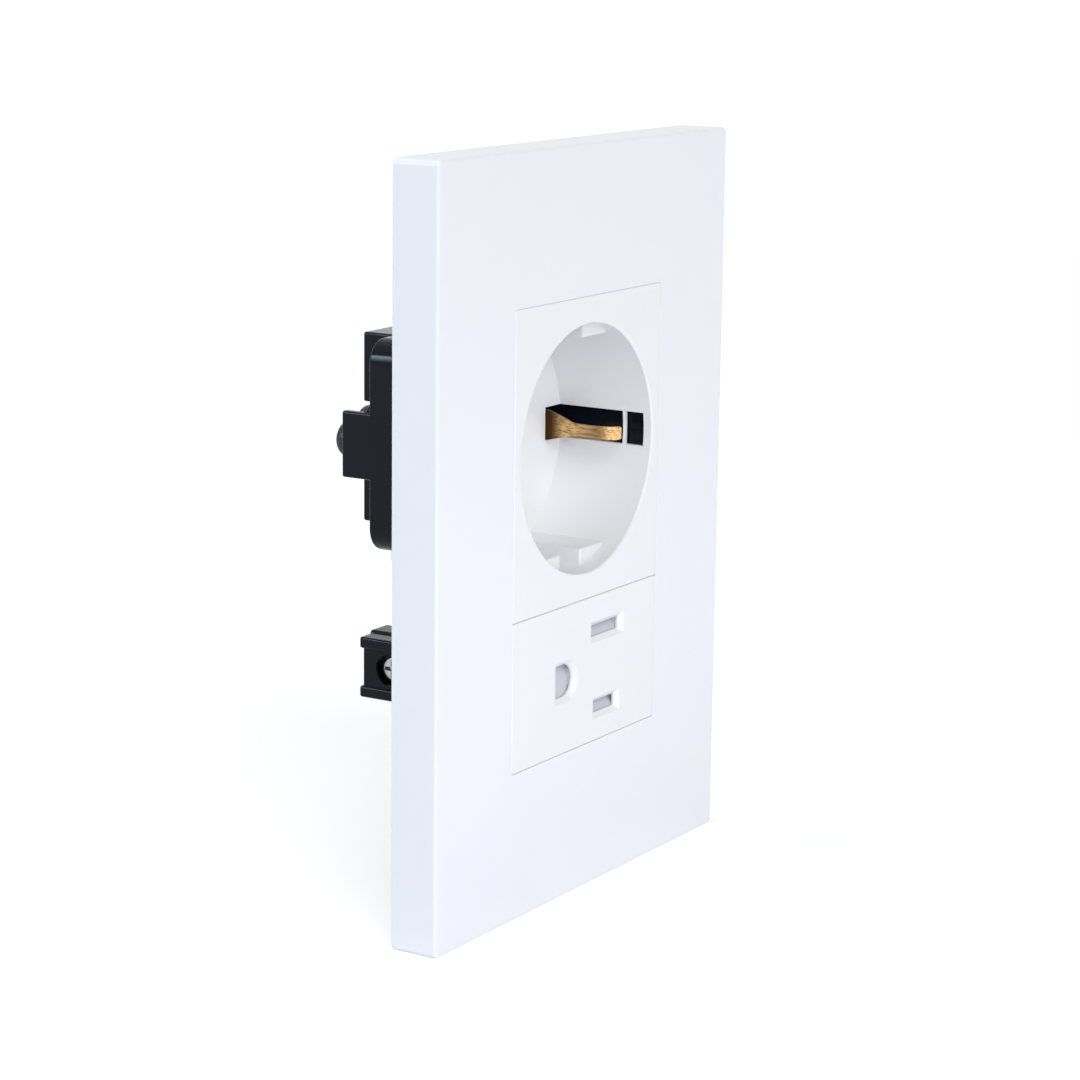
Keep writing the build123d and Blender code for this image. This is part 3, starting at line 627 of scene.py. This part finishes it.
def tapered_bar(
    length: float, width: float, depth: float, top: float, taper: float
) -> bpy.types.Object:
    """Bar with a narrower lower end, for cutting one arm of a cross recess.

    Args:
        length: Length of the upper end.
        width: Width of the upper end.
        depth: Depth of the cut.
        top: Height of the surface that it is cut into.
        taper: Share of the length and width at the lower end.

    Returns:
        The new mesh object.
    """
    over = depth * OVERCUT
    bar = block((length, width, depth + over), top + (over - depth) / 2)
    with editing(bar):
        narrow_selection(bar, Element.VERTEX, lambda places: places[0].z < top - depth / 2)
        bpy.ops.transform.resize(value=(taper, taper, 1), center_override=(0, 0, 0))
    return bar


@dataclass(frozen=True)
class TurnedScrew:
    """Machine screw with a domed head, a cross recess and a rolled thread, in millimetres."""

    head_radius: float
    head_height: float
    dome: float
    shank_radius: float
    length: float
    cross_length: float
    cross_width: float
    cross_depth: float
    cross_taper: float = 0.55
    tip_chamfer: float = 0.4
    neck_height: float = 0.3
    neck_flare: float = 0.15
    edge_break: float = 0.12
    ring_sides: int = 48
    dome_rings: int = 6
    thread_pitch: float = 0.6
    thread_depth: float = 0.28
    thread_start: float = 0.7
    bare_length: float = 1.6
    ridge_share: float = 0.8
    ridge_sides: int = 3
    ridge_steps: int = 24

    @property
    def stand(self) -> float:
        """Height of the head above its seat."""
        return self.head_height

    def head_profile(self) -> list[tuple[float, float]]:
        """Rings of the head and shank, from the shank's tip to the top of the head.

        Returns:
            Radius and height of each ring.
        """
        core = self.shank_radius - self.thread_depth
        rings = [
            (core - self.tip_chamfer, -self.length),
            (core, -self.length + self.tip_chamfer),
            (core, -self.neck_height),
            (core + self.neck_flare, 0.0),
            (self.head_radius - self.edge_break, 0.0),
            (self.head_radius, self.edge_break),
        ]
        for step in range(self.dome_rings + 1):
            angle = math.pi / 2 * step / self.dome_rings
            radius = self.head_radius - self.dome * (1 - math.cos(angle))
            rings.append((radius, self.head_height - self.dome * (1 - math.sin(angle))))
        return rings

    def thread(self) -> bpy.types.Object:
        """Wind the ridge of the thread.

        Returns:
            The ridge, closed at both ends.
        """
        ridge_radius = self.thread_depth * self.ridge_share
        ridge = wound(
            outline_sides=self.ridge_sides,
            outline_radius=ridge_radius,
            reach=self.shank_radius - ridge_radius,
            pitch=self.thread_pitch,
            turns=int((self.length - self.bare_length) / self.thread_pitch),
            base=-self.length + self.thread_start,
            steps=self.ridge_steps,
        )
        close_up(ridge, FINE_MERGE, self.ridge_sides)
        return ridge

    def model(self) -> bpy.types.Object:
        """Model the screw about its own origin, with its head upwards and its seat at zero.

        Returns:
            The new mesh object.
        """
        screw = turned(self.head_profile(), self.ring_sides)
        for quarter in (0.0, math.pi / 2):
            bar = tapered_bar(
                length=self.cross_length, width=self.cross_width, depth=self.cross_depth,
                top=self.head_height, taper=self.cross_taper)
            select_only(bar)
            bar.rotation_euler.z = quarter
            bpy.ops.object.transform_apply(location=True, rotation=True, scale=True)
            cut_away(screw, bar)
        close_up(screw, CUT_MERGE)
        return join([screw, self.thread()])


@dataclass(frozen=True)
class ClampPlate:
    """Stamped clamp plate with a screw hole and two grooves for wires, in millimetres."""

    width: float
    height: float
    thickness: float
    hole_radius: float
    corner_radius: float
    corner_segments: int = 5
    edge_break: float = 0.1
    edge_segments: int = 2
    edge_angle: float = math.radians(60)
    groove_radius: float = 0.45
    groove_sides: int = 24
    hole_sides: int = 40

    @property
    def stand(self) -> float:
        """Height of the outer side above the lower one."""
        return self.thickness

    def blank(self) -> bpy.types.Object:
        """Stamp the blank of the plate, with round corners and broken edges.

        Returns:
            The new mesh object.
        """
        plate = block((self.width, self.height, self.thickness), self.thickness / 2)
        with editing(plate):
            narrow_selection(
                plate, Element.EDGE, lambda ends: abs(ends[0].z - ends[1].z) > self.thickness / 2)
            bpy.ops.mesh.bevel(
                offset=self.corner_radius, segments=self.corner_segments, affect="EDGES")
        apply_modifier(
            plate, "BEVEL", width=self.edge_break, segments=self.edge_segments,
            limit_method="ANGLE", angle_limit=self.edge_angle)
        return plate

    def model(self) -> bpy.types.Object:
        """Model the plate flat about its own origin, with its lower side at zero.

        Returns:
            The new mesh object.
        """
        plate = self.blank()
        # Each cutter is longer than the plate, so that it passes right through
        groove_reach = self.width / 2 - 2 * self.groove_radius
        for side in (-1, 1):
            deselect_all()
            bpy.ops.mesh.primitive_cylinder_add(
                vertices=self.groove_sides, radius=self.groove_radius, depth=self.height * 2,
                location=(side * groove_reach, 0, 0), rotation=(math.pi / 2, 0, 0))
            cut_away(plate, bpy.context.active_object)
        deselect_all()
        bpy.ops.mesh.primitive_cylinder_add(
            vertices=self.hole_sides, radius=self.hole_radius, depth=self.thickness * 4)
        cut_away(plate, bpy.context.active_object)
        close_up(plate, CUT_MERGE)
        return plate


@dataclass(frozen=True)
class CoilSpring:
    """Compression spring with a closed coil at each end, in millimetres."""

    coil_radius: float = 0.85
    wire_radius: float = 0.14
    length: float = 8.6
    open_turns: int = 6
    closed_pitch_in_radii: float = 2.05
    wire_sides: int = 10
    turn_steps: int = 28

    def model(self) -> bpy.types.Object:
        """Model the spring standing on its own origin.

        Returns:
            The new mesh object.
        """
        closed_pitch = self.closed_pitch_in_radii * self.wire_radius
        base = self.wire_radius
        open_base = base + closed_pitch
        open_height = self.length - 2 * self.wire_radius - 2 * closed_pitch
        runs = (
            (closed_pitch, 1, base),
            (open_height / self.open_turns, self.open_turns, open_base),
            (closed_pitch, 1, open_base + open_height),
        )
        coils = [
            wound(
                outline_sides=self.wire_sides, outline_radius=self.wire_radius,
                reach=self.coil_radius, pitch=pitch, turns=turns, base=start, steps=self.turn_steps)
            for pitch, turns, start in runs
        ]
        spring = join(coils)
        close_up(spring, CUT_MERGE, self.wire_sides)
        return spring


# Screw and clamp plate of the terminals at the back of the round socket
TERMINAL_SCREW = TurnedScrew(
    head_radius=3.0, head_height=2.4, dome=1.5, shank_radius=1.5, length=7.0,
    cross_length=3.6, cross_width=0.8, cross_depth=1.1)
TERMINAL_CLAMP = ClampPlate(
    width=6.2, height=7.0, thickness=1.1, hole_radius=1.6, corner_radius=0.6)
# Screw and clamp plate of the terminals at the sides of the blade socket
SIDE_SCREW = TurnedScrew(
    head_radius=2.1, head_height=1.1, dome=0.5, shank_radius=1.45, length=4.0,
    cross_length=3.2, cross_width=0.7, cross_depth=0.7)
SIDE_CLAMP = ClampPlate(
    width=6.0, height=6.6, thickness=1.0, hole_radius=1.55, corner_radius=0.4)


@dataclass
class Outlet:
    """The whole outlet: the part's solids, dressed, and modelled pieces in place of plain ones."""

    frame: Mapping[str, object]
    materials: dict[Slot, bpy.types.Material] = field(default_factory=dict)
    terminal_screw: TurnedScrew = TERMINAL_SCREW
    terminal_clamp: ClampPlate = TERMINAL_CLAMP
    side_screw: TurnedScrew = SIDE_SCREW
    side_clamp: ClampPlate = SIDE_CLAMP
    spring: CoilSpring = CoilSpring()
    smooth_angle: float = math.radians(38)

    def dress_solids(self) -> None:
        """Give every solid of the part the finish of its slot."""
        for slot, finish in FINISHES.items():
            self.materials[slot] = finish.material()
        for node, solid in self.frame["nodes"].items():
            solid.data.materials.clear()
            solid.data.materials.append(self.materials[self.slot_of(node)])
            LOG.info("dressed %s", node)

    def slot_of(self, node: str) -> Slot:
        """Slot that the record gives to one of the part's solids."""
        rows = {row["node"]: row["material_slot"] for row in self.frame["record"]["subparts"]}
        return Slot(rows[node])

    def mount(self, piece: bpy.types.Object, node: str, slot: Slot) -> None:
        """Put a modelled piece on the outlet in place of one of its solids.

        Args:
            piece: Mesh object, already in its place.
            node: Solid that it stands for.
            slot: Slot of its finish.
        """
        select_only(piece)
        bpy.ops.object.shade_smooth_by_angle(angle=self.smooth_angle)
        piece.data.materials.clear()
        piece.data.materials.append(self.materials[slot])
        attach(piece, Body.OUTLET.value)
        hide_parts(node)
        LOG.info("modelled %s: %d faces", piece.name, len(piece.data.polygons))

    def place_of(self, node: str, facing: Facing, back_off: float) -> Vector:
        """Point on the middle line of a solid, near its end that faces one way.

        Args:
            node: Name of the solid.
            facing: Way that the end faces.
            back_off: Distance from that end into the solid, in millimetres.

        Returns:
            The point, in metres.
        """
        low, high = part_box(node)
        way = Vector(facing.value)
        middle = (low + high) / 2
        half = abs((high - low).dot(way)) / 2
        return middle + way * (half - back_off * MM)

    def fit_copies(
        self, design: TurnedScrew | ClampPlate, facing: Facing, nodes: Sequence[str], ending: str
    ) -> None:
        """Model a design once and fit a copy of it in place of each of some solids.

        Args:
            design: Screw or clamp plate.
            facing: Way that its head or outer side faces.
            nodes: Solids that the copies stand for.
            ending: What follows the solid's name in the name of its copy.
        """
        pattern = design.model()
        for node in nodes:
            piece = copy_of(pattern)
            place = self.place_of(node, facing, design.stand)
            settle(piece, node + ending, place, facing.turn())
            self.mount(piece, node, self.slot_of(node))
        bpy.data.objects.remove(pattern)

    def fit_screws(self) -> None:
        """Model the seven screws and fit them."""
        low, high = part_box("housing_screw")
        shank = (high.y - low.y) / MM - self.terminal_screw.head_height
        housing_screw = replace(self.terminal_screw, length=shank)
        terminal_nodes = ("upper_pin_screw", "lower_pin_screw", "earth_screw")
        rows = (
            (self.terminal_screw, Facing.BACK, terminal_nodes),
            (housing_screw, Facing.BACK, ("housing_screw",)),
            (self.side_screw, Facing.RIGHT, ("neutral_blade_screw", "live_blade_screw")),
            (self.side_screw, Facing.LEFT, ("ground_pin_screw",)),
        )
        for design, facing, nodes in rows:
            self.fit_copies(design, facing, nodes, "_threaded")

    def fit_clamps(self) -> None:
        """Model the six clamp plates and fit them."""
        terminal_nodes = ("upper_pin_clamp", "lower_pin_clamp", "earth_clamp")
        rows = (
            (self.terminal_clamp, Facing.BACK, terminal_nodes),
            (self.side_clamp, Facing.RIGHT, ("neutral_blade_clamp", "live_blade_clamp")),
            (self.side_clamp, Facing.LEFT, ("ground_pin_clamp",)),
        )
        for design, facing, nodes in rows:
            self.fit_copies(design, facing, nodes, "_stamped")

    def fit_springs(self) -> None:
        """Model the two return springs and fit them; they ride with the outlet and do not shorten
        as their shutters slide down.
        """
        rows = (
            ("blade_shutter_spring", "blade_shutter_slide"),
            ("ground_shutter_spring", "ground_shutter_slide"),
        )
        pattern = self.spring.model()
        length = self.spring.length * MM
        for node, joint in rows:
            low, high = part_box(node)
            seat = Vector(((low.x + high.x) / 2, (low.y + high.y) / 2, high.z - length))
            coil = copy_of(pattern)
            settle(coil, node + "_coil", seat, Matrix.Identity(4))
            self.mount(coil, node, self.slot_of(node))
            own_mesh(coil)
        bpy.data.objects.remove(pattern)


@dataclass(frozen=True)
class Softbox:
    """Square or oblong studio lamp, in metres and watts."""

    name: str
    place: tuple[float, float, float]
    size: tuple[float, float]
    power: float
    tint: str = "FFFFFF"

    def hang(self, aim: Vector) -> None:
        """Add the lamp to the scene and turn it to a point.

        Args:
            aim: Point that it lights, in metres.
        """
        lamp = bpy.data.lights.new(self.name, "AREA")
        lamp.shape = "RECTANGLE"
        lamp.size, lamp.size_y = self.size
        lamp.energy = self.power
        lamp.color = linear(self.tint)[:3]
        holder = bpy.data.objects.new(self.name, lamp)
        bpy.context.scene.collection.objects.link(holder)
        holder.location = self.place
        holder.visible_camera = False
        holder.rotation_euler = (aim - Vector(self.place)).to_track_quat("-Z", "Y").to_euler()


SOFTBOXES = (
    # Wide light from the front left, for the plate's front and the recess
    Softbox(name="key_softbox", place=(-1.50, -2.09, 1.44), size=(2.4, 2.1), power=61.0),
    # Thin strip close in front and below the middle, for the recess
    Softbox(
        name="low_softbox", place=(-0.03, -0.15, -0.045), size=(0.4, 0.025), power=0.08,
        tint="E4EAFF"),
    # Lamp above, for the plate's top
    Softbox(name="top_softbox", place=(-0.1, 0.35, 1.07), size=(0.28, 0.28), power=4.3),
    # Tall strip behind the left, for the plate's side and the bright band on the housing's corner
    Softbox(
        name="side_softbox", place=(-0.87, 0.69, 0.435), size=(0.045, 0.45), power=2.9,
        tint="CBE7FF"),
)


@dataclass
class Studio:
    """White floor, even white surround and soft lamps."""

    floor_height: float
    floor_size: float = 80.0
    floor_colour: str = "F2F2F2"
    glow_colour: str = "FFFFFF"
    near_glow: float = 0.44
    far_glow: float = 1.0
    glow_reach: tuple[float, float] = (0.5, 2.0)
    world_light: float = 0.18
    world_seen: float = 1.0
    aim: Vector = field(default_factory=lambda: Vector((0.0, 0.004, 0.0)))
    softboxes: tuple[Softbox, ...] = SOFTBOXES

    def seen_ray(self, tree: bpy.types.NodeTree) -> bpy.types.NodeSocket:
        """Socket that is one for a ray from the camera, a gloss or a clear body, and else zero.

        Args:
            tree: Node tree that reads it.

        Returns:
            The output socket.
        """
        path = add_node(tree, "ShaderNodeLightPath")
        shiny = add_node(tree, "ShaderNodeMath", {
            0: path.outputs["Is Glossy Ray"], 1: path.outputs["Is Transmission Ray"],
        }, operation="MAXIMUM")
        seen = add_node(tree, "ShaderNodeMath", {
            0: path.outputs["Is Camera Ray"], 1: shiny.outputs[0],
        }, operation="MAXIMUM")
        return seen.outputs[0]

    def light_world(self) -> None:
        """Surround the scene with even white light, which is brighter where it is seen."""
        world = bpy.data.worlds.new("white_room")
        world.use_nodes = True
        tree = world.node_tree
        tree.nodes.clear()
        level = add_node(tree, "ShaderNodeMapRange", {
            "Value": self.seen_ray(tree), "To Min": self.world_light, "To Max": self.world_seen,
        })
        sky = add_node(tree, "ShaderNodeBackground", {
            "Color": linear(self.glow_colour), "Strength": level.outputs["Result"],
        })
        add_node(tree, "ShaderNodeOutputWorld", {"Surface": sky.outputs["Background"]})
        bpy.context.scene.world = world

    def floor_material(self) -> bpy.types.Material:
        """Paper sweep: matt and pale, with a glow where it is seen, so that it keeps a shadow.

        Returns:
            The new material.
        """
        made = blank_material("paper_sweep_matt")
        tree = made.node_tree
        matt = add_node(tree, "ShaderNodeBsdfDiffuse", {"Color": linear(self.floor_colour)})
        # Far from the lamps the paper would turn grey, so its glow grows away from the outlet
        place = add_node(tree, "ShaderNodeTexCoord").outputs["Object"]
        distance = add_node(tree, "ShaderNodeVectorMath", {0: place}, operation="LENGTH")
        reach = add_node(tree, "ShaderNodeMapRange", {
            "Value": distance.outputs["Value"],
            "From Min": self.glow_reach[0], "From Max": self.glow_reach[1],
            "To Min": self.near_glow, "To Max": self.far_glow,
        })
        glow = add_node(tree, "ShaderNodeMath", {
            0: reach.outputs["Result"], 1: self.seen_ray(tree),
        }, operation="MULTIPLY")
        light = add_node(tree, "ShaderNodeEmission", {
            "Color": linear(self.glow_colour), "Strength": glow.outputs[0],
        })
        both = add_node(tree, "ShaderNodeAddShader", {
            0: matt.outputs["BSDF"], 1: light.outputs["Emission"],
        })
        add_node(tree, "ShaderNodeOutputMaterial", {"Surface": both.outputs["Shader"]})
        return made

    def lay_floor(self) -> None:
        """Lay the floor under the outlet."""
        deselect_all()
        bpy.ops.mesh.primitive_plane_add(size=self.floor_size, location=(0, 0, self.floor_height))
        floor = bpy.context.active_object
        floor.name = "floor"
        bpy.ops.object.transform_apply(location=True, rotation=True, scale=True)
        floor.data.materials.append(self.floor_material())
        floor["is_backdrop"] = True

    def hang_lamps(self) -> None:
        """Hang every softbox."""
        for softbox in self.softboxes:
            softbox.hang(self.aim)

    def build(self) -> None:
        """Build the room around the outlet."""
        self.light_world()
        self.lay_floor()
        self.hang_lamps()
        bpy.context.scene.view_settings.view_transform = "Standard"


@dataclass(frozen=True)
class PhotoCamera:
    """Camera fitted to the photograph.

    Angles are in degrees, distances, the sensor and the aim in millimetres, the focal length in
    pixels of the photograph, and the clip distances in metres.
    """

    azimuth: float = -58.2279
    elevation: float = 11.7254
    roll: float = 0.6809
    distance: float = 490.758
    shift_right: float = -7.5905
    shift_up: float = -2.6197
    focal_pixels: float = 3102.396
    aim: tuple[float, float, float] = (0.0, -8.0, 0.0)
    sensor: float = 36.0
    clip_start: float = 0.01
    clip_end: float = 200.0

    def place(self) -> None:
        """Add the camera and make it the scene's own."""
        angles = (self.azimuth, self.elevation, self.roll)
        azimuth, elevation, roll = (math.radians(angle) for angle in angles)
        level = math.cos(elevation)
        back = Vector((math.sin(azimuth) * level, -math.cos(azimuth) * level, math.sin(elevation)))
        flat_right = Vector((math.cos(azimuth), math.sin(azimuth), 0.0))
        flat_up = back.cross(flat_right)
        right = math.cos(roll) * flat_right + math.sin(roll) * flat_up
        up = math.cos(roll) * flat_up - math.sin(roll) * flat_right
        aside = right * self.shift_right
        spot = Vector(self.aim) + back * self.distance + aside + up * self.shift_up
        lens = bpy.data.cameras.new("photo_camera")
        lens.sensor_width = self.sensor
        lens.lens = self.focal_pixels / PHOTO_SIZE * self.sensor
        lens.clip_start = self.clip_start
        lens.clip_end = self.clip_end
        camera = bpy.data.objects.new("photo_camera", lens)
        bpy.context.scene.collection.objects.link(camera)
        pose = Matrix((right, up, back)).transposed().to_4x4()
        pose.translation = spot * MM
        camera.matrix_world = pose
        bpy.context.scene.camera = camera


def as_lists(box: Sequence[Sequence[float]]) -> list[list[float]]:
    """Corners of a box as plain lists of numbers."""
    return [[float(number) for number in corner] for corner in box]


def main() -> None:
    """Build the outlet, its room and its camera, with the floor at the lowest point of the part's
    solids.
    """
    logging.basicConfig(level=logging.INFO, format="%(name)s: %(message)s")
    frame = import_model()
    solid_box = as_lists(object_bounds())
    PhotoCamera().place()
    outlet = Outlet(frame)
    outlet.dress_solids()
    outlet.fit_screws()
    outlet.fit_clamps()
    outlet.fit_springs()
    Studio(floor_height=solid_box[0][2]).build()
    LOG.info("outlet is ready")


if __name__ == "__main__":
    main()
